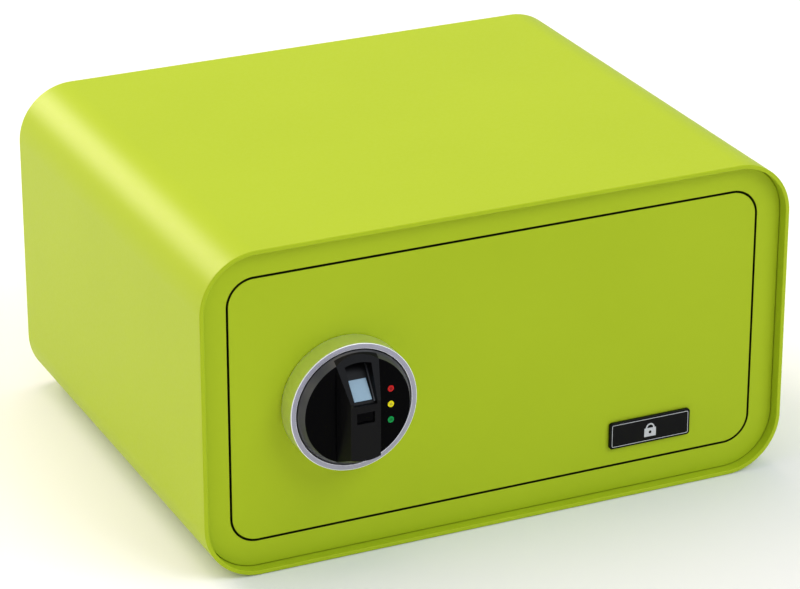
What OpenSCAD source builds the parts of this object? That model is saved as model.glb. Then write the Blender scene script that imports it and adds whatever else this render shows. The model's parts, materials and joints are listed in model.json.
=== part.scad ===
// Compact fingerprint safe: painted steel body, flush hinged door, turning knob with a finger
// reader, two locking bolts, a locking solenoid and a battery compartment inside the door.
// Front is -Y, +Z is up, and the origin is the centre of the base's footprint.

/* [Body] */
// Overall width of the body
body_w = 430; // [400:5:460]
// Overall height of the body
body_h = 230; // [220:5:260]
// Overall depth of the body, without the knob
body_d = 345; // [300:5:400]
// Outer radius of the body's four long corners
body_r = 40; // [36:1:44]
// Thickness of the body's wrapped steel wall
wall_t = 3; // [2:0.5:4]
// Distance of the door's face behind the rim
recess = 7.6; // [5:0.2:12]
// Thickness of the front frame
frame_t = 3; // [2:0.5:3]
// Thickness of the back panel
back_t = 3; // [2:0.5:5]
// Thickness of the felt mat on the floor
mat_t = 3; // [2:0.5:5]

/* [Anchor holes] */
// Distance between the two holes, in the floor and in the back
anchor_spacing = 220; // [160:10:280]
// Radius of an anchor hole
anchor_r = 5; // [4:0.5:6]
// Height of the back panel's holes above the base
anchor_z = 150; // [120:5:170]
// Distance of the floor's holes behind the centre
anchor_y = 40; // [0:5:80]

/* [Door] */
// Distance from the body's outside to the door's edge, all round
door_margin = 22.5; // [20:0.5:26]
// Corner radius of the door
door_r = 18; // [14:1:22]
// Thickness of the door plate
door_t = 4; // [3:0.5:4]
// Gap between the door and the frame
door_gap = 1.5; // [1:0.1:2]

/* [Hinge] */
// Distance of the hinge pin from the door's right edge
pin_inset = 24; // [23:1:25]
// Distance of the hinge pin behind the door's face
pin_depth = 9; // [8.5:0.1:9.2]
// Radius of a hinge pin
pin_r = 2.5; // [2:0.1:2.6]

/* [Knob] */
// Distance of the knob's centre from the door's left edge
knob_inset = 80; // [78:1:110]
// Distance of the knob's centre below the door's centre
knob_drop = 2.6; // [0:0.2:6]
// Outer radius of the chrome ring
ring_r = 44.8; // [44:0.1:46]
// Inner radius of the chrome ring
ring_inner_r = 40.9; // [40.7:0.1:41.5]
// Height of the ring's front above the door
ring_h = 16.6; // [15:0.2:20]
// Radius of the black cap, beside the ring
cap_r = 40.1; // [39:0.1:40.2]
// Radius of the cap's flat face
cap_face_r = 37.2; // [36.8:0.1:37.5]
// Height of the cap's face above the door
cap_h = 22; // [21.5:0.1:22.5]

/* [Finger block] */
// Height of the block's front above the door
block_h = 34.9; // [34.5:0.1:35.5]
// Half width of the block where it meets the cap
block_root = 15; // [14.5:0.1:15.5]
// Half width of the block's front
block_front = 10.5; // [10.3:0.1:11]
// Radius that the block's ends follow at its front
block_end_r = 30.5; // [30:0.1:31]
// Height on the knob at which the block's front starts to slope back
slope_from = 11.2; // [11:0.1:11.5]
// Angle of the sloping front
slope_deg = 29.5; // [29:0.5:30]
// Angle of the finger channel's floor
floor_deg = 41.5; // [41:0.5:42]

/* [Lock] */
// Travel of the locking bolts
bolt_travel = 16.5; // [16:0.1:16.5]
// Radius of a locking bolt
bolt_r = 8; // [7:0.5:8]
// Distance of each bolt above and below the knob's centre
bolt_spread = 55; // [53:1:57]
// Travel of the solenoid's plunger
plunger_travel = 9; // [8:0.5:9]

/* [Badge] */
// Width of the badge
badge_w = 62; // [50:1:70]
// Height of the badge
badge_h = 19.5; // [14:0.5:22]

/* [Hidden] */
$fn = 96;

// Clearance of a shaft that turns or slides in its bore
run_fit = 0.06;
// Clearance round a piece that only has to pass
pass_fit = 0.5;

// The door and the opening that it fills
door_w = body_w - 2*door_margin;
door_h = body_h - 2*door_margin;
open_w = door_w + 2*door_gap;
open_h = door_h + 2*door_gap;
mid_z = body_h/2;
rim_y = -body_d/2;
face_y = rim_y + recess;
inner_w = body_w - 2*wall_t;
inner_h = body_h - 2*wall_t;
inner_r = body_r - wall_t;

// The hinge's axis
pin_x = door_w/2 - pin_inset;
pin_y = face_y + pin_depth;

// The knob's axis, and the door's left edge seen from it
knob_x = -door_w/2 + knob_inset;
knob_z = mid_z - knob_drop;
edge_x = -knob_inset;

// Layers behind the door's face, as distances in front of it, so they are negative
bush_z = -door_t - 2;
cam_z = [-11, -7];
carriage_z = [-15, -12];
bolt_z = (carriage_z[0] + carriage_z[1])/2;
liner_z = -31.5;
liner_t = 1.5;

// Cam and carriage
cam_r = 37;
pin_from = 14;
cam_pin_r = 3;
cam_turn = 90;
cam_spare = 6;
bar_left = edge_x + 30;
bar_right = bar_left + 23;
tongue_h = 18;
stud_x = 50.5;
plunger_x = 24.25;
plunger_r = 3;
plunger_z = -14.5;
plunger_tip = -29.1;
plunger_len = 35;
coil_top = -40.6;
coil_len = 26;

// Finger channel: a point on its floor, at the middle of the glass
glass_y = 16.05;
glass_z = 25.7;
glass_w = 12.5;
glass_len = 15;
arch_r = 33.9;
channel_low = 8.9;
strip_t = 0.5;
strip_w = 0.9;

// Indicator lenses
led_r = 2.3;
led_x = 23.5;
led_step = 11.1;

// Battery compartment, seen from the door's centre
cell_x = 101;
cell_step = 16;
cell_z = -19.5;
cell_r = 7.1;
box_w = 70;
box_len = 62;

// ---------- shared shapes ----------

// Rounded rectangle about the origin
module round_rect(w, h, r) {
  square([w - 2*r, h], center = true);
  square([w, h - 2*r], center = true);
  for (x = [-1, 1], y = [-1, 1])
    translate([x*(w/2 - r), y*(h/2 - r)]) circle(r = r);
}

// Stands an XY outline upright, from y0 back to y1
module upright(y0, y1) {
  translate([0, y1, 0]) rotate([90, 0, 0]) linear_extrude(y1 - y0) children();
}

// Door frame of reference: X right, Y up, Z out of the door's face
module at_door() {
  translate([0, face_y, mid_z]) rotate([90, 0, 0]) children();
}

// The same, about the knob's axis
module at_knob() {
  translate([knob_x, face_y, knob_z]) rotate([90, 0, 0]) children();
}

// Round bar along Z from z0 to z1
module bar(r, z0, z1) {
  translate([0, 0, z0]) cylinder(r = r, h = z1 - z0);
}

// Tube along Z
module tube(r_out, r_in, z0, z1) {
  difference() {
    bar(r_out, z0, z1);
    bar(r_in, z0 - 1, z1 + 1);
  }
}

// Box from one corner to the other
module box(a, b) {
  translate(a) cube(b - a);
}

// Slot outline from x0 to x1
module slot(x0, x1, r) {
  translate([x0, -r]) square([x1 - x0, 2*r]);
  translate([x0, 0]) circle(r = r);
  translate([x1, 0]) circle(r = r);
}

// ---------- body ----------

module body_shell() color("#B4CF3C") {
  difference() {
    translate([0, 0, mid_z]) upright(rim_y, -rim_y) difference() {
      round_rect(body_w, body_h, body_r);
      round_rect(inner_w, inner_h, inner_r);
    }
    for (x = [-1, 1])
      translate([x*anchor_spacing/2, anchor_y, 0]) bar(anchor_r, -1, wall_t + 1);
  }
}

module front_frame() color("#A5BF35") {
  translate([0, 0, mid_z]) upright(face_y, face_y + frame_t) difference() {
    round_rect(inner_w, inner_h, inner_r);
    round_rect(open_w, open_h, door_r + door_gap);
  }
}

module back_panel() color("#A5BF35") {
  translate([0, 0, mid_z]) upright(-rim_y - back_t, -rim_y) difference() {
    round_rect(inner_w, inner_h, inner_r);
    for (x = [-1, 1])
      translate([x*anchor_spacing/2, anchor_z - mid_z]) circle(r = anchor_r);
  }
}

module floor_mat() color("#3A3A3C") {
  mat_w = body_w - 94;
  mat_front = rim_y + 36;
  mat_back = -rim_y - 12;
  difference() {
    translate([0, (mat_front + mat_back)/2, wall_t]) linear_extrude(mat_t)
      round_rect(mat_w, mat_back - mat_front, 6);
    for (x = [-1, 1])
      translate([x*anchor_spacing/2, anchor_y, 0]) bar(anchor_r + 3, 0, wall_t + mat_t + 1);
  }
}

// ---------- hinge ----------

// One bracket behind the frame, above the opening: a welded flange and an arm that holds the pin
module hinge_bracket() {
  arm_z = open_h/2 + 1;
  frame_back = face_y + frame_t;
  difference() {
    union() {
      box([pin_x - 11, frame_back, arm_z], [pin_x + 11, frame_back + 2, arm_z + 11]);
      box([pin_x - 11, frame_back, arm_z], [pin_x + 11, pin_y + 8, arm_z + 4]);
    }
    translate([pin_x, pin_y, 0]) bar(pin_r, arm_z - 1, arm_z + 12);
  }
}

module hinge_brackets() color("#9A9CA0") {
  for (m = [0, 1])
    translate([0, 0, mid_z]) mirror([0, 0, m]) hinge_bracket();
}

module hinge_pins() color("#C8CACD") {
  for (m = [0, 1])
    translate([pin_x, pin_y, mid_z]) mirror([0, 0, m])
      bar(pin_r, door_h/2 - 18, open_h/2 + 5);
}

// Blocks welded to the door that turn on the pins
module hinge_knuckles() color("#9A9CA0") {
  for (m = [0, 1])
    translate([0, 0, mid_z]) mirror([0, 0, m]) difference() {
      box([pin_x - 8.5, face_y + door_t, door_h/2 - 25], [pin_x + 8.5, pin_y + 5, door_h/2 - 1]);
      translate([pin_x, pin_y, 0]) bar(pin_r + run_fit, door_h/2 - 26, door_h/2);
    }
}

// ---------- door ----------

module door_plate() color("#A8C237") {
  difference() {
    translate([0, 0, mid_z]) upright(face_y, face_y + door_t) round_rect(door_w, door_h, door_r);
    at_knob() bar(11, -door_t - 1, 1);
  }
}

module spindle_bush() color("#B5A264") {
  at_knob() difference() {
    union() {
      bar(11, -door_t, 0);
      bar(15, bush_z, -door_t);
    }
    bar(8 + run_fit, bush_z - 1, 1);
  }
}

// Bar beside the door's edge, in which both bolts slide
module bolt_guide() color("#8F9195") {
  at_knob() difference() {
    box([edge_x + 3.5, -68, -23.5], [edge_x + 12.5, 68, -door_t]);
    for (y = [-1, 1])
      translate([edge_x, y*bolt_spread, bolt_z]) rotate([0, 90, 0]) bar(bolt_r + run_fit, 0, 20);
  }
}

// Shouldered stud that keeps the carriage's tongue straight
module carriage_stud() color("#C8CACD") {
  at_knob() translate([stud_x, 0, 0]) {
    bar(6, carriage_z[1] + 0.2, -door_t);
    bar(4, carriage_z[0] - 0.3, carriage_z[1] + 0.2);
    bar(7, carriage_z[0] - 2.8, carriage_z[0] - 0.3);
  }
}

// ---------- lock ----------

// Steel yoke round the coil
module solenoid_frame() color("#B9BBBE") {
  at_knob() translate([plunger_x, 0, 0]) difference() {
    union() {
      box([-10.75, coil_top - coil_len - 2, -6], [10.75, coil_top + 2, -door_t]);
      box([-10.75, coil_top, -24.5], [10.75, coil_top + 2, -door_t]);
      box([-10.75, coil_top - coil_len - 2, -24.5], [10.75, coil_top - coil_len, -door_t]);
    }
    translate([0, coil_top + 3, plunger_z]) rotate([90, 0, 0]) bar(plunger_r + 0.3, 0, 4);
  }
}

module solenoid_coil() color("#A5532B") {
  at_knob() translate([plunger_x, coil_top, plunger_z]) rotate([90, 0, 0])
    tube(8.3, plunger_r + 0.2, 0, coil_len);
}

module plunger() color("#D3D5D8") {
  at_knob() translate([plunger_x, plunger_tip, plunger_z]) rotate([90, 0, 0]) {
    bar(plunger_r, 0.8, plunger_len);
    cylinder(r1 = plunger_r - 0.8, r2 = plunger_r, h = 0.8);
  }
}

// The cam's spiral slot: its radius at an angle, how steeply it leaves the circle there, and a
// point at some distance to one side of its middle, measured square to the spiral
function slot_radius(turn) = pin_from + bolt_travel*turn/cam_turn;
function slot_slope(turn) = bolt_travel*180/(PI*cam_turn*slot_radius(turn));
function slot_side(turn, slope) =
  ([-cos(turn), sin(turn)] - slope*[sin(turn), cos(turn)])/sqrt(1 + slope*slope);
function slot_point(turn, side) =
  slot_radius(turn)*[-cos(turn), sin(turn)] + side*slot_side(turn, slot_slope(turn));

// Disc with a spiral slot, so a turn of the knob slides the carriage in even steps. The slot
// runs on a little past both ends of the pin's travel.
module cam_disc() color("#A9ABAE") {
  half = cam_pin_r + 0.35;
  at_knob() translate([0, 0, cam_z[0]]) linear_extrude(cam_z[1] - cam_z[0]) difference() {
    circle(r = cam_r);
    circle(r = 6.5);
    polygon(concat([for (a = [-cam_spare:3:cam_turn + cam_spare]) slot_point(a, half)],
                   [for (a = [cam_turn + cam_spare:-3:-cam_spare]) slot_point(a, -half)]));
    translate(slot_point(-cam_spare, 0)) circle(r = half);
    translate(slot_point(cam_turn + cam_spare, 0)) circle(r = half);
  }
}

module cam_pin() color("#D3D5D8") {
  at_knob() translate([-pin_from, 0, 0]) bar(cam_pin_r, carriage_z[1], cam_z[1] - 0.3);
}

// Plate that carries both bolts: an upright bar, a tongue over the cam and a blocking tooth
module bolt_carriage() color("#B9BBBE") {
  tooth_x = stud_x - 21;
  at_knob() {
    translate([0, 0, carriage_z[0]]) linear_extrude(carriage_z[1] - carriage_z[0]) difference() {
      union() {
        translate([bar_left, -bolt_spread - 10]) square([bar_right - bar_left, 2*bolt_spread + 20]);
        translate([bar_left, -tongue_h]) square([76 - bar_left, 2*tongue_h]);
        polygon([[tooth_x, -tongue_h], [tooth_x + 3, -tongue_h - 9], [tooth_x + 6, -tongue_h - 9],
                 [tooth_x + 6, -tongue_h]]);
      }
      slot(0, bolt_travel, 8.6);
      slot(stud_x, stud_x + bolt_travel, 4.3);
    }
    for (y = [-1, 1])
      box([bar_left, y*bolt_spread - 10, bolt_z - 8], [bar_left + 3, y*bolt_spread + 10, bolt_z + 8]);
  }
}

module locking_bolts() color("#D3D5D8") {
  at_knob() for (y = [-1, 1])
    translate([edge_x + 2, y*bolt_spread, bolt_z]) rotate([0, 90, 0]) {
      bar(bolt_r, 1, bar_left - edge_x - 2);
      cylinder(r1 = bolt_r - 1, r2 = bolt_r, h = 1);
    }
}

// ---------- knob ----------

// Turned cup whose front edge is the chrome ring
module knob_ring() color("#D9DBDF") {
  edge = 0.5;
  at_knob() rotate_extrude() polygon([
    [8, 0.5], [ring_r, 0.5], [ring_r, ring_h - edge], [ring_r - edge, ring_h],
    [ring_inner_r + edge, ring_h], [ring_inner_r, ring_h - edge], [ring_inner_r, 3.5], [8, 3.5]
  ]);
}

// Hollow shaft: a flange in the knob, a journal in the bush, a seat for the cam and a thread
module spindle() color("#C8CACD") {
  at_knob() difference() {
    union() {
      bar(14, 3.5, 6.5);
      bar(8, cam_z[1], 3.5);
      bar(6.5, cam_z[0], cam_z[1]);
      bar(5, cam_z[0] - 7, cam_z[0]);
    }
    bar(4, cam_z[0] - 8, 8);
  }
}

module cam_nut() color("#B5A264") {
  at_knob() difference() {
    translate([0, 0, cam_z[0] - 6]) cylinder(r = 7.5, h = 6, $fn = 6);
    bar(5, cam_z[0] - 7, cam_z[0] + 1);
  }
}

// Outside of the black cap, as a solid
module cap_solid() {
  rotate_extrude() polygon([[0, 3.5], [cap_r, 3.5], [cap_r, ring_h], [cap_face_r, cap_h], [0, cap_h]]);
}

// Outline of the finger channel: sides that open out upwards, under a round arch
module channel_outline(grow) {
  intersection() {
    polygon([[-8 - grow, channel_low - grow], [8 + grow, channel_low - grow],
             [9.6 + grow, 37], [-9.6 - grow, 37]]);
    circle(r = arch_r + grow);
  }
}

// Places things on the channel's floor, with Z square to it, and the glass at the origin
module on_floor() {
  translate([0, glass_y, glass_z]) rotate([-floor_deg, 0, 0]) children();
}

// Everything in front of the channel's floor, lowered by drop
module above_floor(drop) {
  on_floor() box([-40, -40, -drop], [40, 40, 60]);
}

// The part of the cap where the finger block sits
module block_seat(z0) {
  box([-block_root, -45, z0], [block_root, 45, cap_h + 1]);
}

module knob_cap() color("#101012") {
  at_knob() difference() {
    cap_solid();
    rotate_extrude() polygon([[0, 3], [cap_r - 1.8, 3], [cap_r - 1.8, ring_h - 0.6],
                              [cap_face_r - 2, cap_h - 2], [0, cap_h - 2]]);
    block_seat(cap_h - 4);
    for (step = [-1, 0, 1])
      translate([led_x, step*led_step, 0]) bar(led_r + run_fit, cap_h - 3, cap_h + 1);
  }
}

module finger_block() color("#161618") {
  port = [12.7, 7.8];
  at_knob() difference() {
    union() {
      intersection() {
        union() {
          cap_solid();
          translate([0, 0, cap_h - 0.01])
            cylinder(r1 = cap_face_r, r2 = block_end_r, h = block_h - cap_h + 0.01);
        }
        rotate([90, 0, 0]) linear_extrude(90, center = true) polygon([
          [-block_root, cap_h - 4], [block_root, cap_h - 4], [block_root, cap_h],
          [block_front, block_h], [-block_front, block_h], [-block_root, cap_h]
        ]);
      }
      // Tub that carries the channel down into the cap
      intersection() {
        translate([0, 0, 8]) linear_extrude(cap_h - 10) channel_outline(1.6);
        above_floor(1.6);
      }
    }
    // Sloping front
    translate([0, slope_from, block_h]) rotate([-slope_deg, 0, 0]) box([-50, 0, 0], [50, 60, 40]);
    translate([0, slope_from, block_h]) box([-50, 0, 0], [50, 60, 40]);
    // Finger channel, and the seat for the module under its floor
    intersection() {
      linear_extrude(60) channel_outline(0);
      above_floor(0);
    }
    on_floor() box([-7.2, -7.2, -6.2], [7.2, 7.2, 1]);
    on_floor() box([-glass_w/2 - 0.1, -glass_len/2 - 0.1, -0.8], [glass_w/2 + 0.1, glass_len/2 + 0.1, 1]);
    // Power port in the front, with a deeper pocket for the socket
    translate([0, 0, block_h]) box([-port[0]/2, -port[1]/2, -3], [port[0]/2, port[1]/2, 1]);
    box([-5, -2.6, 10], [5, 2.6, block_h]);
  }
}

module sensor_glass() color("#9FC0D4") {
  at_knob() on_floor()
    box([-glass_w/2, -glass_len/2, -0.8], [glass_w/2, glass_len/2, 0.15]);
}

// Two thin strips along the sides of the channel's floor, which guide the finger
module guide_strips() color("#A8AAAE") {
  at_knob() difference() {
    intersection() {
      linear_extrude(60) channel_outline(-run_fit);
      above_floor(0);
      box([-20, channel_low + strip_w, 0], [20, arch_r - 1, 60]);
    }
    linear_extrude(60) channel_outline(-strip_w);
    above_floor(-strip_t);
  }
}

module sensor_module() color("#2B4A3A") {
  at_knob() on_floor() box([-7, -7, -5.8], [7, 7, -0.9]);
}

// Round circuit board inside the cap, cut away for the tub and the cable
module knob_board() color("#2F6B45") {
  at_knob() translate([0, 0, 11]) linear_extrude(1.6) difference() {
    circle(r = 36);
    circle(r = 3);
    translate([-12.5, 14]) square([25, 26]);
  }
}

// Socket behind the port cover, standing on the knob's board
module power_socket() color("#C8CACD") {
  at_knob() difference() {
    box([-4.8, -2.4, 12.6], [4.8, 2.4, block_h - 3.2]);
    box([-3.9, -1.5, block_h - 9], [3.9, 1.5, block_h]);
  }
}

// Indicator lens: a stem on the knob's board and a slightly raised end in the cap's face
module led(y) {
  at_knob() translate([led_x, y, 0]) {
    bar(led_r, 12.6, cap_h);
    translate([0, 0, cap_h]) cylinder(r1 = led_r, r2 = led_r - 0.3, h = 0.25);
  }
}

module led_red() color("#C81E1E") led(led_step);

module led_yellow() color("#F5E614") led(0);

module led_green() color("#0A963C") led(-led_step);

// Pull-out cover in the port, with a finger-nail notch at its lower edge
module port_cover() color("#0C0C0E") {
  at_knob() translate([0, 0, block_h - 2.9]) difference() {
    box([-6.15, -3.7, 0], [6.15, 3.7, 1.6]);
    box([-2, -4, 0.8], [2, -2.9, 3]);
  }
}

// ---------- electronics in the door ----------

module board_posts() color("#C8A24A") {
  at_door() for (x = [-24, 48], y = [-50, 50])
    translate([x, y, 0]) bar(2.5, -15, -door_t);
}

module control_board() color("#2F6B45") {
  at_door() box([-28, -55, -16.6], [52, 55, -15]);
}

// Chip, driver, connectors, capacitors and the enrol switch on the board
module board_parts() color("#26262A") {
  at_door() {
    box([4, 8, -18.2], [18, 22, -16.6]);
    box([-20, 20, -18.6], [-12, 32, -16.6]);
    box([-23, -8.5, -19.6], [-13, 3.5, -16.6]);
    box([40, -10, -20.6], [50, 10, -16.6]);
    box([27, -43, -20.6], [33, -37, -16.6]);
    for (x = [-14, 0])
      translate([x, -30, 0]) bar(4, -26, -16.6);
  }
}

// Lead from the middle of the hollow spindle to the control board
module knob_cable() color("#1A1A1C") {
  lead_r = 2;
  bend_r = 6;
  far_x = -18 - knob_x;
  at_knob() {
    bar(lead_r, -21, 10.5);
    translate([bend_r, 0, -21]) rotate([90, 0, 0]) rotate([0, 0, 180])
      rotate_extrude(angle = 90) translate([bend_r, 0]) circle(r = lead_r);
    translate([bend_r, 0, -27]) rotate([0, 90, 0]) bar(lead_r, 0, far_x - 2*bend_r);
    translate([far_x - bend_r, 0, -21]) rotate([90, 0, 0]) rotate([0, 0, 270])
      rotate_extrude(angle = 90) translate([bend_r, 0]) circle(r = lead_r);
    translate([far_x, 0, 0]) bar(lead_r, -21, -19.6);
  }
}

// Plastic tray for four AA cells, open towards the inside of the safe
module battery_box() color("#1E1E20") {
  at_door() translate([cell_x, 0, 0]) difference() {
    box([-box_w/2, -box_len/2, liner_z + liner_t], [box_w/2, box_len/2, -9]);
    box([-box_w/2 + 1.5, -box_len/2 + 1.5, liner_z], [box_w/2 - 1.5, box_len/2 - 1.5, -10.5]);
  }
}

// Cells stand side by side, every other one upside down
module batteries() color("#3C5A78") {
  at_door() for (i = [0:3])
    translate([cell_x + (i - 1.5)*cell_step, 0, cell_z]) mirror([0, i % 2, 0]) rotate([-90, 0, 0]) {
      bar(cell_r, -25, 24);
      bar(2.7, 24, 25.3);
    }
}

// Contact plates, with a boss at each plus end and spring turns at each minus end
module battery_contacts() color("#D3D5D8") {
  at_door() for (i = [0:3])
    translate([cell_x + (i - 1.5)*cell_step, 0, cell_z]) mirror([0, i % 2, 0]) {
      box([-5, 28.6, -5], [5, 29.1, 5]);
      box([-5, -29.1, -5], [5, -28.6, 5]);
      rotate([-90, 0, 0]) bar(2.5, 25.4, 28.6);
      for (t = [0:2])
        translate([0, -28 + 1.15*t, 0]) rotate([90, 0, 0])
          rotate_extrude() translate([5 - t, 0]) circle(r = 0.45, $fn = 24);
    }
}

module battery_leads() color("#B22222") {
  at_door() for (y = [-3, 3])
    translate([50, y, -18.5]) rotate([0, 90, 0]) bar(0.9, 0, cell_x - box_w/2 - 50);
}

// ---------- liner ----------

liner_x = [-door_w/2 + 1, door_w/2 - 34.5];
liner_h = door_h - 11;
liner_r = 16;
post_places = [[-170, 75], [20, 75], [148, 75], [-170, -75], [20, -75], [148, -75]];

// Outline of the liner, made smaller all round by shrink
module liner_outline(shrink) {
  translate([(liner_x[0] + liner_x[1])/2, 0])
    round_rect(liner_x[1] - liner_x[0] - 2*shrink, liner_h - 2*shrink, liner_r - shrink);
}

module liner_posts() color("#C8A24A") {
  at_door() for (p = post_places)
    translate([p[0], p[1], 0]) tube(3.5, 2, liner_z + liner_t, -door_t);
}

// Folded cover over the lock and the electronics
module door_liner() color("#C9CBC6") {
  at_door() difference() {
    union() {
      translate([0, 0, liner_z]) linear_extrude(-door_t - liner_z) liner_outline(0);
      // Rails that hold the battery lid, and the ledge that it rests on
      for (m = [0, 1])
        translate([cell_x, 0, 0]) mirror([m, 0, 0]) {
          box([33.5, -box_len/2, liner_z - 3.7], [36, box_len/2, liner_z]);
          box([31.5, -box_len/2, liner_z - 3.7], [36, box_len/2, liner_z - 2.5]);
        }
      box([cell_x - 30, -box_len/2 - 1.5, liner_z - 2], [cell_x + 30, -box_len/2 + 0.7, liner_z]);
    }
    translate([0, 0, liner_z + liner_t]) linear_extrude(40) liner_outline(liner_t);
    box([cell_x - 31.5, -28, liner_z - 1], [cell_x + 31.5, 28, 0]);
    for (p = post_places)
      translate([p[0], p[1], 0]) bar(2.2, liner_z - 1, liner_z + 2);
    translate([30, -40, 0]) bar(4.3, liner_z - 1, liner_z + 2);
    translate([0, -knob_drop, 0]) for (y = [-1, 1])
      translate([liner_x[0] - 1, y*bolt_spread, bolt_z]) rotate([0, 90, 0]) bar(bolt_r + pass_fit, 0, 5);
  }
}

module liner_screws() color("#D3D5D8") {
  at_door() for (p = post_places)
    translate([p[0], p[1], 0]) difference() {
      union() {
        bar(1.9, liner_z - 0.5, liner_z + 9);
        translate([0, 0, liner_z - 2]) cylinder(r1 = 2.8, r2 = 3.6, h = 2);
      }
      box([-1.8, -0.4, liner_z - 3], [1.8, 0.4, liner_z - 1]);
      box([-0.4, -1.8, liner_z - 3], [0.4, 1.8, liner_z - 1]);
    }
}

module battery_lid() color("#2A2A2D") {
  at_door() translate([cell_x, 0, 0]) {
    box([-33, -box_len/2 + 1, liner_z - 2.2], [33, box_len/2 - 1, liner_z - 0.2]);
    for (y = [18, 21, 24])
      box([-12, y - 0.6, liner_z - 3], [12, y + 0.6, liner_z - 2]);
  }
}

module enrol_button() color("#B22222") {
  at_door() translate([30, -40, 0]) {
    bar(4, liner_z - 3, -22.3);
    bar(5.5, liner_z + liner_t + 0.2, liner_z + liner_t + 1.7);
  }
}

// ---------- badge ----------

badge_x = door_w/2 - 77.5;
badge_y = -70.2;
badge_t = 2.5;

module badge_plate() color("#141416") {
  at_door() translate([badge_x, badge_y, 0]) linear_extrude(badge_t)
    round_rect(badge_w, badge_h, 2.2);
}

// Thin border and a plain padlock sign, raised a little from the badge
module badge_mark() color("#D9DBDF") {
  at_door() translate([badge_x, badge_y, badge_t]) linear_extrude(0.2) {
    difference() {
      round_rect(badge_w - 3, badge_h - 3, 1.2);
      round_rect(badge_w - 3.8, badge_h - 3.8, 0.8);
    }
    translate([0, -2]) difference() {
      square([9, 6.4], center = true);
      circle(r = 1.1);
    }
    translate([0, 1.2]) difference() {
      circle(r = 3.4);
      circle(r = 2.3);
      translate([-4, -4]) square([8, 4]);
    }
  }
}

// ---------- nodes ----------

body_shell();
front_frame();
back_panel();
floor_mat();
hinge_brackets();
hinge_pins();
door_plate();
hinge_knuckles();
spindle_bush();
bolt_guide();
carriage_stud();
solenoid_frame();
solenoid_coil();
board_posts();
control_board();
board_parts();
battery_box();
batteries();
battery_contacts();
battery_leads();
knob_cable();
liner_posts();
door_liner();
liner_screws();
badge_plate();
badge_mark();
knob_ring();
spindle();
cam_disc();
cam_nut();
knob_cap();
finger_block();
sensor_glass();
guide_strips();
sensor_module();
knob_board();
power_socket();
led_red();
led_yellow();
led_green();
port_cover();
bolt_carriage();
locking_bolts();
cam_pin();
plunger();
battery_lid();
enrol_button();
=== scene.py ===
# %% [markdown]
# # A compact fingerprint safe
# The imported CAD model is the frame. Its nodes keep their places, and the pieces that show are
# made again here with round edges, because light on an edge is what makes sheet steel and
# moulded plastic look real. Every size below is read from the frame or is a real edge radius.

# %% Load the frame
import json
import math

import bmesh
import bpy
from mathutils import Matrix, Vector


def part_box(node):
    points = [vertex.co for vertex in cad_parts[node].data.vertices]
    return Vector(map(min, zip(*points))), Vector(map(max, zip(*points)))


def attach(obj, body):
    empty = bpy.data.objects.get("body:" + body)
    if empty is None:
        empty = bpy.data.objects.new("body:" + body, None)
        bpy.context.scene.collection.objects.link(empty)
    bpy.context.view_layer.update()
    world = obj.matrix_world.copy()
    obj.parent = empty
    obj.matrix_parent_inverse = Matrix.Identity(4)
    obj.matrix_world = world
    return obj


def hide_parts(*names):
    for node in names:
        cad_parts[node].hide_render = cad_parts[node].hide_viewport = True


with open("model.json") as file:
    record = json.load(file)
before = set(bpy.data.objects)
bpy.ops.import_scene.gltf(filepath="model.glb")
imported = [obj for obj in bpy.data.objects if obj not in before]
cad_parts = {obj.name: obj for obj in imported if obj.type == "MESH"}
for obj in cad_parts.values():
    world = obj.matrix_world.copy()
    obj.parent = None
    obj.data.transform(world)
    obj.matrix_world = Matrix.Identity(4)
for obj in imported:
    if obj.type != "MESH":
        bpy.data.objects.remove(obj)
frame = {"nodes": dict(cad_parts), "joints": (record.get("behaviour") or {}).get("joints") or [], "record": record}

MM = 0.001
nodes = frame["nodes"]
joints = {joint["name"]: joint for joint in frame["joints"]}
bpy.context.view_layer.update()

# %% [markdown]
# ## Where things are
# The body's box gives the outside, the door's box gives the face that everything in front is
# measured from, and the knob's joint gives the middle of the round pieces. Radii of corners
# can't be read from a box, so they are named here once.

# %% Places read from the frame
body_low, body_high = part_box("body_shell")
door_low, door_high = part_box("door_plate")
back_low, back_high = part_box("back_panel")
frame_low, frame_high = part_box("front_frame")
badge_low, badge_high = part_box("badge_plate")
face_y = door_low.y
knob = Vector(joints["knob_turn"]["pos_m"])
OUTSIDE_R = 40 * MM
WALL = 3 * MM
DOOR_R = 18 * MM
DOOR_GAP = 1.5 * MM
THROUGH = 10 * MM  # far enough to pass right through any sheet
print("door face at y", round(face_y / MM, 1), "mm, knob at", [round(v / MM, 1) for v in knob])

# %% [markdown]
# ## Camera
# A long lens from the front left and above. It looks level across its own width, so the safe's
# upright edges stay nearly upright.

# %% Camera
LENS_MM = 157.34
SENSOR_MM = 36
CAMERA_PLACE = Vector((-0.9460, -2.0550, 1.0789))
TURN = math.radians(24.809)
TILT = math.radians(23.392)
camera_data = bpy.data.cameras.new("camera")
camera_data.lens = LENS_MM
camera_data.sensor_width = SENSOR_MM
camera = bpy.data.objects.new("camera", camera_data)
bpy.context.scene.collection.objects.link(camera)
camera.location = CAMERA_PLACE
forward = Vector((math.sin(TURN) * math.cos(TILT), math.cos(TURN) * math.cos(TILT), -math.sin(TILT)))
camera.rotation_mode = "QUATERNION"
camera.rotation_quaternion = forward.to_track_quat("-Z", "Y")
bpy.context.scene.camera = camera
print("camera looks", [round(v, 3) for v in forward])

# %% [markdown]
# ## Tools for modelling
# An operator acts on whatever is selected, and loading the frame leaves its nodes selected. So
# each helper deselects everything first and then names the one piece that it works on.

# %% Selecting
STRAIGHT = 0.9  # the share of a direction that lies along an axis, from which it counts as straight


def take(piece):
    """Makes one piece the only selected one, and the active one."""
    bpy.ops.object.select_all(action="DESELECT")
    piece.select_set(True)
    bpy.context.view_layer.objects.active = piece


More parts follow.
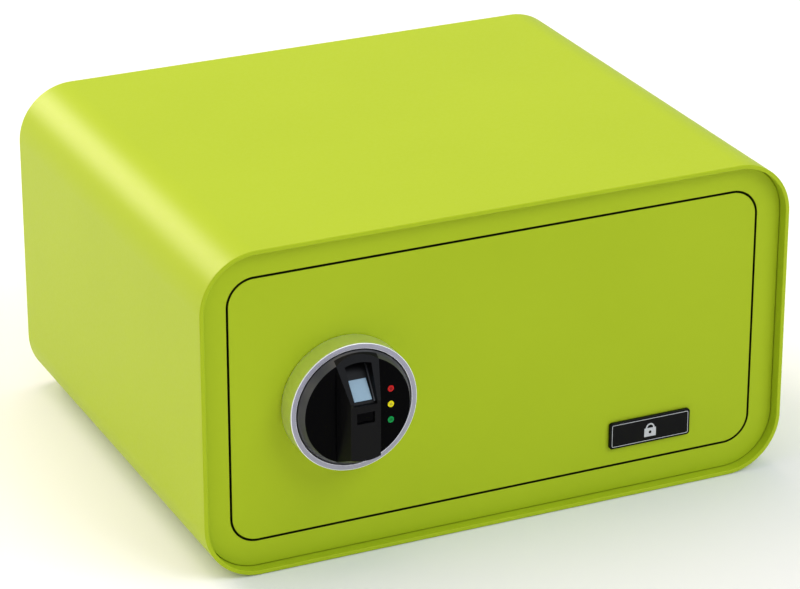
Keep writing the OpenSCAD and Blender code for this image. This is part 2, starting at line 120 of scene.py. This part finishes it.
def pick(piece, what, test):
    """Goes into edit mode with only the faces or edges that pass the test selected."""
    take(piece)
    bpy.ops.object.mode_set(mode="EDIT")
    bpy.ops.mesh.select_mode(type="FACE" if what == "faces" else "EDGE")
    bpy.ops.mesh.select_all(action="DESELECT")
    shape = bmesh.from_edit_mesh(piece.data)
    chosen = [part for part in getattr(shape, what) if test(part)]
    for part in chosen:
        part.select_set(True)
    bmesh.update_edit_mesh(piece.data)
    return len(chosen)


def leave():
    """Goes back to object mode."""
    bpy.ops.object.mode_set(mode="OBJECT")


def faces_front(face):
    """True for a face that looks out of the door."""
    return face.normal.y < -STRAIGHT


# %% [markdown]
# ## Starting and cutting
# Each piece starts as a box or a bar at its real size. The place and size are then applied, so
# the object itself stays at the origin and only its mesh holds where it is. Holes are cut with
# a Boolean modifier, as a drill or punch would cut them.

# %% Starting a piece
def start(kind, name, **sizes):
    """Adds a primitive with its place and size written into its mesh."""
    bpy.ops.object.select_all(action="DESELECT")
    getattr(bpy.ops.mesh, f"primitive_{kind}_add")(**sizes)
    piece = bpy.context.object
    piece.name = name
    bpy.ops.object.transform_apply(location=True, rotation=True, scale=True)
    return piece


def block(name, low, high):
    """A box between two corners."""
    low, high = Vector(low), Vector(high)
    return start("cube", name, size=1, location=(low + high) / 2, scale=high - low)


def drum(name, radius, low, high, centre, sides=128):
    """A round bar that points out of the door, from low to high in front of the door's face."""
    place = Vector((centre.x, face_y - (low + high) / 2, centre.z))
    return start("cylinder", name, vertices=sides, radius=radius, depth=high - low,
                 location=place, rotation=(math.radians(90), 0, 0))


# %% Cutting
def apply(piece, kind, **settings):
    """Adds a modifier and applies it."""
    take(piece)
    change = piece.modifiers.new(kind.lower(), kind)
    for name, value in settings.items():
        setattr(change, name, value)
    bpy.ops.object.modifier_apply(modifier=change.name)


def cut(piece, cutter):
    """Takes the cutter away from the piece."""
    apply(piece, "BOOLEAN", operation="DIFFERENCE", object=cutter, solver="EXACT")
    bpy.data.objects.remove(cutter)


# %% [markdown]
# ## Rounding
# No real edge is sharp. A Bevel modifier that works by angle rounds the corners and leaves the
# flats alone, and its hardened normals keep the flats looking flat. A mesh that comes from the
# CAD is loose triangles, so a copy of it is merged first.

# %% Rounding
MERGE = 0.002 * MM


def round_edges(piece, width, segments=3, angle=30, edge_slot=-1):
    """Rounds every edge that is sharper than the angle, and can give the rounds their own finish."""
    take(piece)
    bpy.ops.object.shade_smooth()
    if edge_slot > 0:
        piece.data.materials.clear()
        for slot in range(edge_slot + 1):
            piece.data.materials.append(None)
    apply(piece, "BEVEL", width=width, segments=segments, limit_method="ANGLE",
          angle_limit=math.radians(angle), harden_normals=True, miter_outer="MITER_ARC",
          material=edge_slot)
    print(piece.name, "has", len(piece.data.polygons), "faces")


def rounded_slab(name, low, high, radius, segments=32):
    """A plate that faces the front, with four round corners."""
    piece = block(name, low, high)
    pick(piece, "edges", lambda e: abs((e.verts[0].co - e.verts[1].co).normalized().y) > STRAIGHT)
    bpy.ops.mesh.bevel(offset=radius, segments=segments, affect="EDGES")
    leave()
    return piece


def soften(node, name, width, segments=2, angle=30, edge_slot=-1):
    """A copy of a CAD node, with its loose triangles merged and its edges rounded."""
    piece = bpy.data.objects.new(name, nodes[node].data.copy())
    bpy.context.scene.collection.objects.link(piece)
    take(piece)
    bpy.ops.mesh.customdata_custom_splitnormals_clear()
    bpy.ops.object.mode_set(mode="EDIT")
    bpy.ops.mesh.select_all(action="SELECT")
    bpy.ops.mesh.remove_doubles(threshold=MERGE)
    bpy.ops.mesh.dissolve_limited(angle_limit=math.radians(0.5))
    leave()
    round_edges(piece, width, segments, angle, edge_slot)
    return piece


# %% [markdown]
# ## Tools for materials
# Colours are written as they look on a screen and turned to linear light by one function. A
# material starts from one Principled shader, and one function adds every node. Most finishes
# need only a colour and a fine grain, whose size is that of the real texture.

# %% Material helpers
def linear(code):
    """An sRGB hex colour as linear red, green, blue and alpha."""
    parts = [int(code[i:i + 2], 16) / 255 for i in (1, 3, 5)]
    return (*[c / 12.92 if c <= 0.04045 else ((c + 0.055) / 1.055) ** 2.4 for c in parts], 1)


def add_node(tree, kind, settings=(), links=()):
    """Adds a node, sets its sockets and options, and joins its inputs."""
    node = tree.nodes.new(kind)
    for name, value in dict(settings).items():
        if isinstance(name, int) or name in node.inputs:
            node.inputs[name].default_value = value
        else:
            setattr(node, name, value)
    for name, source in dict(links).items():
        tree.links.new(source, node.inputs[name])
    return node


def finish_of(name, **settings):
    """A material with one Principled shader, and its sockets set."""
    material = bpy.data.materials.new(name)
    material.use_nodes = True
    shader = material.node_tree.nodes["Principled BSDF"]
    for socket, value in settings.items():
        shader.inputs[socket.replace("_", " ")].default_value = value
    return material, material.node_tree, shader


def grain(tree, shader, size, height, rough_low, rough_high, detail=3):
    """Fine relief and uneven gloss from one noise, whose features are size metres wide."""
    place = add_node(tree, "ShaderNodeTexCoord")
    noise = add_node(tree, "ShaderNodeTexNoise", {"Scale": 1 / size, "Detail": detail},
                     {"Vector": place.outputs["Object"]})
    gloss = add_node(tree, "ShaderNodeMapRange",
                     {"From Min": 0.3, "From Max": 0.7, "To Min": rough_low, "To Max": rough_high},
                     {"Value": noise.outputs["Fac"]})
    tree.links.new(gloss.outputs["Result"], shader.inputs["Roughness"])
    bump = add_node(tree, "ShaderNodeBump", {"Strength": 1, "Distance": height},
                    {"Height": noise.outputs["Fac"]})
    tree.links.new(bump.outputs["Normal"], shader.inputs["Normal"])


def plain(name, code, size, height, rough_low, rough_high, detail=3, **more):
    """A finish whose only pattern is its own fine grain."""
    material, tree, shader = finish_of(name, Base_Color=linear(code), **more)
    grain(tree, shader, size, height, rough_low, rough_high, detail)
    return material


# %% [markdown]
# ## Lime powder coat
# The body is steel sheet with a lime green powder coat. It was sprayed as dry powder and baked,
# so it is satin and not mirror smooth: a faint orange peel about two millimetres across spreads
# the lights into soft bands. A slow cloud of two near greens keeps the large sides from looking
# like flat colour.

# %% Lime powder coat
PEEL = 2.2 * MM
CLOUD = 90 * MM
paint, tree, shader = finish_of("lime_powder_coat", Specular_IOR_Level=0.15,
                                Specular_Tint=linear("#FFE6B4"),
                                Coat_Weight=0.04, Coat_Roughness=0.3, Coat_IOR=1.5)
grain(tree, shader, PEEL, 0.004 * MM, 0.42, 0.48)
place = add_node(tree, "ShaderNodeTexCoord")
cloud = add_node(tree, "ShaderNodeTexNoise", {"Scale": 1 / CLOUD, "Detail": 1},
                 {"Vector": place.outputs["Object"]})
tint = add_node(tree, "ShaderNodeMix", {"data_type": "RGBA", 6: linear("#A9BE20"), 7: linear("#ADC223")},
                {0: cloud.outputs["Fac"]})
tree.links.new(tint.outputs[2], shader.inputs["Base Color"])
print(paint.name, "peel", PEEL / MM, "mm")

# %% [markdown]
# ## Painted shade in the door gap
# The narrow walls of the frame's opening and of the door's edge are painted dark olive. This is painted shade for
# the narrow gap, where hardly any light gets in, and it draws the black line round the door.

# %% Painted shade in the door gap
painted_gap_shade = plain("thin_dark_edge_coat", "#1C2105", PEEL, 0.004 * MM, 0.5, 0.6, Specular_IOR_Level=0.1)
print("made", painted_gap_shade.name)

# %% [markdown]
# ## Chrome
# The ring is turned, plated with chrome and blasted to satin. The side mirrors the green door softly. Its front
# land was left duller and greyer than the side, so the colour changes over a tenth of a millimetre behind the
# front. The rounded edges between them are painted near white, a painted highlight that draws the ring's bright
# lines.

# %% Chrome
RING_FRONT = 16.6 * MM
RING_GRAIN = 0.5 * MM
chrome, tree, shader = finish_of("satin_chrome_plate", Metallic=1)
grain(tree, shader, RING_GRAIN, 0.0006 * MM, 0.34, 0.42)
place = add_node(tree, "ShaderNodeTexCoord")
across = add_node(tree, "ShaderNodeSeparateXYZ", {}, {"Vector": place.outputs["Object"]})
land = add_node(tree, "ShaderNodeMapRange",
                {"From Min": face_y - RING_FRONT + 0.05 * MM, "From Max": face_y - RING_FRONT + 0.15 * MM},
                {"Value": across.outputs["Y"]})
colour = add_node(tree, "ShaderNodeMix", {"data_type": "RGBA", 6: linear("#A3A3B1"), 7: linear("#F6F6F6")},
                  {0: land.outputs["Result"]})
tree.links.new(colour.outputs[2], shader.inputs["Base Color"])
# Near white on the ring's rounded edges: a painted highlight.
ring_edge_painted_highlight = plain("buffed_chrome_edge", "#FAFAFF", RING_GRAIN, 0.0006 * MM, 0.34, 0.42, Metallic=0.4)
print("made", chrome.name, "and", ring_edge_painted_highlight.name)

# %% [markdown]
# ## Black plastics
# The cap is ABS from a polished mould, so its face is nearly black. The finger block came from a lightly blasted
# mould, whose 0.35 mm grain makes it a shade greyer. The cap's sloping rim has the same grain, and its lighter
# grey is partly painted sheen, for the light on the rim. The block's rounded edges are painted paler, a painted
# highlight that draws the block's outline.

# %% Black plastics
MOULD_GRAIN = 0.35 * MM
MOULD_DEPTH = 0.003 * MM
gloss_black = plain("polished_black_abs", "#020203", 5 * MM, 0.002 * MM, 0.14, 0.20,
                    Specular_IOR_Level=0.03)
satin_black = plain("satin_black_abs", "#0C0C0D", MOULD_GRAIN, MOULD_DEPTH, 0.32, 0.42,
                    Specular_IOR_Level=0.10)
# Lighter grey on the cap's sloping rim: the mould's real grain, with painted sheen in its lighter colour.
rim_black_grain_and_sheen = plain("fine_textured_black_abs", "#3A3A3C", MOULD_GRAIN, MOULD_DEPTH, 0.30, 0.38,
                    Specular_IOR_Level=0.5)
# Paler block edges: a painted highlight that draws the block's outline.
block_edge_painted_highlight = plain("handled_black_edge", "#444446", MOULD_GRAIN, MOULD_DEPTH, 0.28, 0.36,
                     Specular_IOR_Level=0.5)
print("made four blacks, from", gloss_black.name, "to", block_edge_painted_highlight.name)

# %% [markdown]
# ## Reader window and indicator lenses
# The reader's glass has a coating that returns pale blue. The three lenses are dyed acrylic, and
# the small dark chip behind each shows in its middle. The chip is drawn by distance from the
# lens's centre, which a Mapping node moves to the origin.

# %% Reader window
reader = plain("coated_reader_glass", "#6F96AC", 0.5 * MM, 0.0005 * MM, 0.2, 0.28,
               Coat_Weight=0.1, Coat_Roughness=0.05)
print("made", reader.name)

# %% Indicator lenses
CHIP_R = 0.9 * MM
CHIP_EDGE_R = 1.5 * MM


def lens_finish(name, code, core, node):
    """Tinted acrylic with the darker chip showing in the middle of the lens."""
    low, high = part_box(node)
    material, tree, shader = finish_of(name, Specular_IOR_Level=0.15, Roughness=0.25)
    place = add_node(tree, "ShaderNodeTexCoord")
    centred = add_node(tree, "ShaderNodeMapping",
                       {"Location": (-(low.x + high.x) / 2, -low.y, -(low.z + high.z) / 2)},
                       {"Vector": place.outputs["Object"]})
    far = add_node(tree, "ShaderNodeVectorMath", {"operation": "LENGTH"},
                   {0: centred.outputs["Vector"]})
    share = add_node(tree, "ShaderNodeMapRange", {"From Min": CHIP_R, "From Max": CHIP_EDGE_R},
                     {"Value": far.outputs["Value"]})
    colour = add_node(tree, "ShaderNodeMix", {"data_type": "RGBA", 6: linear(core), 7: linear(code)},
                      {0: share.outputs["Result"]})
    tree.links.new(colour.outputs[2], shader.inputs["Base Color"])
    return material


lens_red = lens_finish("red_acrylic", "#D21A1A", "#9A1212", "led_red")
lens_yellow = lens_finish("yellow_acrylic", "#FFF010", "#C8BC28", "led_yellow")
lens_green = lens_finish("green_acrylic", "#00A04A", "#007A36", "led_green")
print("made three lens finishes")

# %% [markdown]
# ## Badge finishes
# The badge is a gloss black plate with a sign and a border printed in silver ink. The ink holds
# metal flake, so it is half a metal: pale, with a soft shine.

# %% Badge finishes
badge_black = plain("gloss_black_badge", "#0A0A0B", 3 * MM, 0.001 * MM, 0.15, 0.2,
                    Specular_IOR_Level=0.1)
silver_print = plain("silver_print", "#C9CBD0", 0.4 * MM, 0.001 * MM, 0.3, 0.4, Metallic=0.6)
print("made", badge_black.name, "and", silver_print.name)

# %% [markdown]
# ## Metals
# Zinc plating has a cloudy grey spangle about a millimetre across. Turned steel and turned brass
# are cleaner and shine more. The strips in the finger channel were blasted, so they look dull.
# All keep the metal's default IOR.

# %% Metals
zinc_steel = plain("zinc_plated_steel", "#A9ABAE", 1.2 * MM, 0.004 * MM, 0.28, 0.42, Metallic=1)
bright_steel = plain("bright_turned_steel", "#CFD1D4", 0.5 * MM, 0.002 * MM, 0.18, 0.26, Metallic=1)
strip_steel = plain("blasted_steel_strip", "#7C7E82", 0.4 * MM, 0.003 * MM, 0.42, 0.52, Metallic=1)
brass = plain("turned_brass", "#B5A264", 0.5 * MM, 0.002 * MM, 0.2, 0.3, Metallic=1)
print("made four metals, the first", zinc_steel.name)

# %% [markdown]
# ## Finishes inside
# The liner is steel sheet with a rough light grey powder coat, which hides marks. The coil is
# wound round with matt tape. The boards have a smooth green solder mask, the battery box is
# moulded from grained black ABS, the cells have a glossy shrunk sleeve, and the leads and the
# button are soft red PVC.

# %% Finishes inside
liner_paint = plain("light_grey_powder_coat", "#B9BCB6", 0.9 * MM, 0.01 * MM, 0.5, 0.62)
coil_tape = plain("coil_tape", "#8C4A28", 0.8 * MM, 0.01 * MM, 0.45, 0.6)
solder_mask = plain("green_solder_mask", "#1F5A36", 0.7 * MM, 0.003 * MM, 0.3, 0.4)
black_abs = plain("moulded_black_abs", "#1B1B1D", 0.6 * MM, 0.01 * MM, 0.4, 0.55)
cell_sleeve = plain("cell_sleeve", "#2F5472", 2 * MM, 0.002 * MM, 0.2, 0.3)
red_pvc = plain("red_pvc", "#A81E1E", 0.5 * MM, 0.003 * MM, 0.35, 0.45)
print("made six finishes, the first", liner_paint.name)

# %% [markdown]
# ## Felt
# The mat is needled felt: fibres pressed into a sheet with no weave. Loose ends catch light
# from the side, which is what sheen gives. Real fibres are about 0.03 mm thick. They are drawn
# as tufts 0.9 mm wide, because nothing finer would show.

# %% Felt
felt = plain("charcoal_felt", "#333336", 0.9 * MM, 0.25 * MM, 0.9, 1.0, detail=6,
             Sheen_Weight=0.3, Sheen_Roughness=0.6)
print("materials made:", len(bpy.data.materials))

# %% [markdown]
# ## Giving a piece its place
# A piece rides on the CAD body that carries it and hides the CAD node that it stands for. Part of a piece can have
# a second finish, which is assigned in edit mode to the faces that pass a test.

# %% Place a piece
body_of = {node: body for body, rows in frame["record"]["behaviour"]["bodies"].items() for node in rows}


def place_piece(piece, material, node, edge=None):
    """Gives a piece its finish and lets it stand for a CAD node."""
    if edge:
        piece.data.materials[0] = material
        piece.data.materials[1] = edge
    else:
        piece.data.materials.clear()
        piece.data.materials.append(material)
    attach(piece, body_of[node])
    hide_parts(node)


# %% A second finish on part of a piece
def second_finish(piece, material, test):
    """Gives another finish to the faces of a placed piece that pass the test."""
    piece.data.materials.append(material)
    count = pick(piece, "faces", test)
    piece.active_material_index = 1
    bpy.ops.object.material_slot_assign()
    leave()
    print(piece.name, "has", count, "faces in", material.name)


# %% [markdown]
# ## Body
# The real body is one sheet wrapped round four soft corners. It starts as a box whose four long
# edges are bevelled to the corner radius. Both ends are inset by the sheet's thickness and
# bridged, which leaves a tube, and the rim gets the small radius of a formed and painted edge.
# Two holes in the floor take the anchor bolts.

# %% Body shell
RIM_EDGE = 0.7 * MM
ANCHOR_R = 5 * MM
ANCHOR_X = 110 * MM
ANCHOR_Y = 40 * MM


def anchor_holes(piece, y, z, turn=0):
    """Cuts the pair of anchor holes, turned from upright by an angle about X."""
    for side in (-1, 1):
        cut(piece, start("cylinder", "anchor_hole", vertices=48, radius=ANCHOR_R, depth=2 * THROUGH,
                         location=(side * ANCHOR_X, y, z), rotation=(math.radians(turn), 0, 0)))


shell = rounded_slab("painted_body", body_low, body_high, OUTSIDE_R, 40)
pick(shell, "faces", lambda f: abs(f.normal.y) > STRAIGHT)
bpy.ops.mesh.inset(thickness=WALL, use_even_offset=True)
bpy.ops.mesh.bridge_edge_loops()
leave()
anchor_holes(shell, ANCHOR_Y, 0)
round_edges(shell, RIM_EDGE, segments=4, angle=50)
place_piece(shell, paint, "body_shell")

# %% [markdown]
# ## Frame round the door
# A flat plate is welded inside the rim, and the door closes into its opening. Plates like these
# are laser cut and bent, so they are slabs with round corners. The frame is a little smaller all
# round than the CAD node, which leaves the dark seam that shows where it meets the body.

# %% Frame round the door
SHEET_EDGE = 0.45 * MM
SEAM = 0.35 * MM
seam = Vector((SEAM, 0, SEAM))
surround = rounded_slab("painted_frame", frame_low + seam, frame_high - seam, OUTSIDE_R - WALL - SEAM, 40)
gap = Vector((DOOR_GAP, THROUGH, DOOR_GAP))
cut(surround, rounded_slab("opening", door_low - gap, door_high + gap, DOOR_R + DOOR_GAP))
round_edges(surround, SHEET_EDGE, angle=50)
place_piece(surround, paint, "front_frame")


def narrow_wall(face):
    """True for a plate's narrow walls, which stand square to its face."""
    return abs(face.normal.y) < 0.3


# The narrow walls of the opening get the painted shade of the gap.
second_finish(surround, painted_gap_shade, narrow_wall)

# %% [markdown]
# ## Door plate
# The door is a steel plate with rounded corners and one round hole, which holds the bush that
# the knob's spindle turns in. It is made as the frame was, so both edges of the gap match.

# %% Door plate
BUSH_HOLE_R = 11 * MM
door = rounded_slab("painted_door", door_low, door_high, DOOR_R)
cut(door, drum("bush_hole", BUSH_HOLE_R, -THROUGH, 5 * MM, knob, 64))
round_edges(door, SHEET_EDGE, angle=50)
place_piece(door, paint, "door_plate")
# The door's narrow walls get the painted shade of the gap.
second_finish(door, painted_gap_shade, narrow_wall)

# %% [markdown]
# ## Back panel
# The back is a plate welded into the tube, with two more anchor holes for a wall. Its corners
# follow the inside of the body's corners.

# %% Back panel
ANCHOR_Z = 150 * MM
back = rounded_slab("painted_back", back_low, back_high, OUTSIDE_R - WALL, 40)
anchor_holes(back, back_high.y, ANCHOR_Z, 90)
round_edges(back, SHEET_EDGE, segments=2, angle=50)
place_piece(back, paint, "back_panel")

# %% [markdown]
# ## Chrome ring
# The ring is a turned cup: a bar whose front is inset by the ring's width and pushed in, with a
# hole through its floor for the spindle. Spin could turn the same outline, but inset and extrude
# keep the walls exactly even and need no profile.

# %% Chrome ring
RING_R = 44.8 * MM
RING_INNER_R = 40.9 * MM
CUP_FLOOR = 3.5 * MM
ring = drum("chrome_ring", RING_R, 0.5 * MM, RING_FRONT, knob, 192)
pick(ring, "faces", faces_front)
bpy.ops.mesh.inset(thickness=RING_R - RING_INNER_R)
bpy.ops.mesh.extrude_region_move(TRANSFORM_OT_translate={"value": (0, RING_FRONT - CUP_FLOOR, 0)})
leave()
cut(ring, drum("spindle_hole", 8 * MM, -THROUGH / 2, 8 * MM, knob, 64))
round_edges(ring, 0.5 * MM, angle=40, edge_slot=1)
# The ring's rounds take the painted highlight as their second finish.
place_piece(ring, chrome, "knob_ring", ring_edge_painted_highlight)

# %% [markdown]
# ## Black cap
# The cap is moulded, so it is hollow and its side leans in towards its flat face, which lets it
# leave the mould. The front of a bar is extruded and drawn in for the lean. A smaller one made
# the same way is cut out of its back, then a flat for the finger block and holes for the lenses.

# %% Black cap
CAP_R = 40.1 * MM
CAP_FACE_R = 37.2 * MM
CAP_FRONT = 22 * MM
CAP_WALL = 1.8 * MM


def lean_in(piece, rise, share):
    """Extrudes the front of a bar and draws the new face in to a share of its size."""
    pick(piece, "faces", faces_front)
    bpy.ops.mesh.extrude_region_move(TRANSFORM_OT_translate={"value": (0, -rise, 0)})
    bpy.ops.transform.resize(value=(share, 1, share), center_override=(knob.x, face_y, knob.z))
    leave()


cap = drum("black_cap", CAP_R, CUP_FLOOR, RING_FRONT, knob, 192)
lean_in(cap, CAP_FRONT - RING_FRONT, CAP_FACE_R / CAP_R)
hollow = drum("cap_hollow", CAP_R - CAP_WALL, 0, RING_FRONT - 1 * MM, knob, 96)
lean_in(hollow, 4.4 * MM, 0.93)
cut(cap, hollow)

# %% Flat for the block, holes for the lenses, and the rim's finish
BLOCK_HALF = 15 * MM
SEAT = 18 * MM
LENS_HOLE_R = 2.36 * MM
cut(cap, block("block_seat", (knob.x - BLOCK_HALF, face_y - 30 * MM, knob.z - 45 * MM),
               (knob.x + BLOCK_HALF, face_y - SEAT, knob.z + 45 * MM)))
for node in ("led_red", "led_yellow", "led_green"):
    low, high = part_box(node)
    cut(cap, drum("lens_hole", LENS_HOLE_R, 10 * MM, 30 * MM, (low + high) / 2, 48))
round_edges(cap, 0.3 * MM, angle=12)
place_piece(cap, gloss_black, "knob_cap")
# The sloping rim takes the lighter grey, which is partly painted sheen.
second_finish(cap, rim_black_grain_and_sheen, lambda f: (f.calc_center_median() - knob).xz.length > CAP_FACE_R - 0.1 * MM)

# %% [markdown]
# ## Finger block
# The block is the bar that fingers grip, with a channel that leads a fingertip down to the reader. Its sloping
# cuts are exact in the CAD, so a copy of that node is softened. The rounds get the paler painted highlight by the
# Bevel modifier's material slot.

# %% Finger block
grip = soften("finger_block", "grip_block", 0.4 * MM, segments=3, angle=20, edge_slot=1)
# The block's rounds take the painted highlight.
place_piece(grip, satin_black, "finger_block", block_edge_painted_highlight)

# %% [markdown]
# ## Small pieces of the knob
# A pull-off cover sits below the reader. The window is cut glass with ground edges, two strips
# line the channel's floor, and each lens is a short acrylic rod with a chamfered end. Copies of
# the CAD nodes need only their edges softened.

# %% Small pieces of the knob
cover = soften("port_cover", "port_lid", 0.25 * MM)
place_piece(cover, gloss_black, "port_cover")
window = soften("sensor_glass", "reader_window", 0.15 * MM)
place_piece(window, reader, "sensor_glass")
strips = soften("guide_strips", "channel_strips", 0.1 * MM)
place_piece(strips, strip_steel, "guide_strips")
for node, material in (("led_red", lens_red), ("led_yellow", lens_yellow), ("led_green", lens_green)):
    lens = soften(node, "lens_" + node.split("_")[1], 0.2 * MM, segments=3, angle=15)
    place_piece(lens, material, node)

# %% [markdown]
# ## Badge
# The badge is a small plate stuck to the door. Its sign is a plain padlock inside a thin border.
# Printed ink is thinner than the 0.2 mm that the CAD gives the sign, which makes it a solid. It
# is a copy of its CAD node and keeps the sign's exact outline.

# %% Badge
BADGE_CORNER = 2.2 * MM
badge = rounded_slab("badge_body", badge_low, badge_high, BADGE_CORNER, 12)
round_edges(badge, 0.5 * MM, angle=40)
place_piece(badge, badge_black, "badge_plate")
mark = soften("badge_mark", "badge_sign", 0.05 * MM, segments=1)
place_piece(mark, silver_print, "badge_mark")

# %% [markdown]
# ## Felt mat
# The mat is a rectangle of thick felt laid on the floor of the body. It lies flat under its own
# weight, so a cloth simulation would change nothing, and its cut size is its size in place. The
# two holes let the anchor bolts through, and the wide bevel is the soft edge of cut felt.

# %% Felt mat
carpet = soften("floor_mat", "felt_mat", 1.2 * MM, segments=3)
place_piece(carpet, felt, "floor_mat")

# %% [markdown]
# ## Liner
# A shallow folded tray covers the works on the back of the door. It has openings for the battery
# box, the button, the screws and the bolts, which are all in the CAD node.

# %% Liner
liner = soften("door_liner", "liner_cover", 0.4 * MM)
place_piece(liner, liner_paint, "door_liner")

# %% [markdown]
# ## Pieces that show when the door is open
# Moulded and pressed pieces have small radii, and turned bolts have larger ones. One table holds
# each piece's finish, its edge radius in millimetres and how many steps the round has.

# %% Pieces that show when the door is open
opened = {
    "battery_lid": (black_abs, 0.3, 2),
    "enrol_button": (red_pvc, 0.3, 3),
    "liner_screws": (bright_steel, 0.15, 2),
    "bolt_guide": (zinc_steel, 0.25, 2),
    "locking_bolts": (bright_steel, 0.6, 3),
    "hinge_brackets": (zinc_steel, 0.25, 2),
    "hinge_knuckles": (zinc_steel, 0.25, 2),
    "hinge_pins": (bright_steel, 0.3, 2),
    "battery_box": (black_abs, 0.2, 2),
}
for node, (material, width, segments) in opened.items():
    place_piece(soften(node, "shown_" + node, width * MM, segments), material, node)

# %% [markdown]
# ## CAD nodes that stay
# The works between the door and its liner stay as the CAD made them. Most are never seen. The
# cells and their contacts show when the battery lid is up, and the socket shows when its cover
# is pulled, so each node gets its real finish.

# %% Finishes of the CAD nodes that stay
kept = {
    zinc_steel: ("solenoid_frame", "cam_disc", "bolt_carriage"),
    bright_steel: ("carriage_stud", "battery_contacts", "spindle", "power_socket", "cam_pin", "plunger"),
    brass: ("spindle_bush", "cam_nut", "board_posts", "liner_posts"),
    coil_tape: ("solenoid_coil",),
    solder_mask: ("control_board", "knob_board"),
    black_abs: ("board_parts", "knob_cable", "sensor_module"),
    cell_sleeve: ("batteries",),
    red_pvc: ("battery_leads",),
}
for material, names in kept.items():
    for name in names:
        node = nodes[name]
        if node.material_slots:
            node.material_slots[0].material = material
        else:
            node.data.materials.append(material)
print("CAD nodes kept:", sum(len(names) for names in kept.values()))

# %% [markdown]
# ## Floor
# A plain pale matt floor, wide enough to fill every view. It lies a hair below the safe, so the
# two surfaces never fight for the same place.

# %% Floor
FLOOR_SIZE = 40
FLOOR_DROP = 0.3 * MM
floor = start("plane", "studio_floor", size=FLOOR_SIZE, location=(0, 0, -FLOOR_DROP))
floor_finish, tree, shader = finish_of("pale_floor", Base_Color=linear("#F6F6F8"), Roughness=0.9)
floor.data.materials.append(floor_finish)
print("floor is", FLOOR_SIZE, "m wide")

# %% [markdown]
# ## Lights
# A soft cool sky and four large soft lights. The one overhead is for the top, and the large one
# far behind on the left draws the long highlight on the upper corner. A weak one lifts the left
# side, and a cool one from the front right lights the door.

# %% Lights
AIM = Vector((0, 0, 0.12))
WARM = "#FFF2DE"
WARMER = "#FFEBCE"
COOL = "#F0F6FF"
SKY_STRENGTH = 0.56


def softbox(name, place, size, power, colour):
    """A rectangular area light that looks at the safe."""
    data = bpy.data.lights.new(name, "AREA")
    data.shape = "RECTANGLE"
    data.size, data.size_y = size
    data.energy = power
    data.color = linear(colour)[:3]
    light = bpy.data.objects.new(name, data)
    bpy.context.scene.collection.objects.link(light)
    light.location = place
    light.visible_camera = False
    light.rotation_mode = "QUATERNION"
    light.rotation_quaternion = (AIM - Vector(place)).to_track_quat("-Z", "Y")


softbox("overhead", place=(-0.1, 0.5, 2.5), size=(1.9, 1.9), power=26, colour=WARMER)
softbox("left_side", place=(-2.3, 0.1, 1.0), size=(1.2, 1.2), power=6, colour=WARM)
softbox("behind_left", place=(-1.58, 4.0, 2.1), size=(1.9, 2.0), power=160, colour=WARM)
softbox("front_fill", place=(1.4, -2.3, 2.6), size=(2.2, 1.8), power=50, colour=COOL)
world = bpy.data.worlds.new("sky")
bpy.context.scene.world = world
world.use_nodes = True
world.node_tree.nodes["Background"].inputs["Color"].default_value = linear(COOL)
world.node_tree.nodes["Background"].inputs["Strength"].default_value = SKY_STRENGTH
bpy.context.scene.view_settings.view_transform = "Standard"
print("lights:", len(bpy.data.lights))
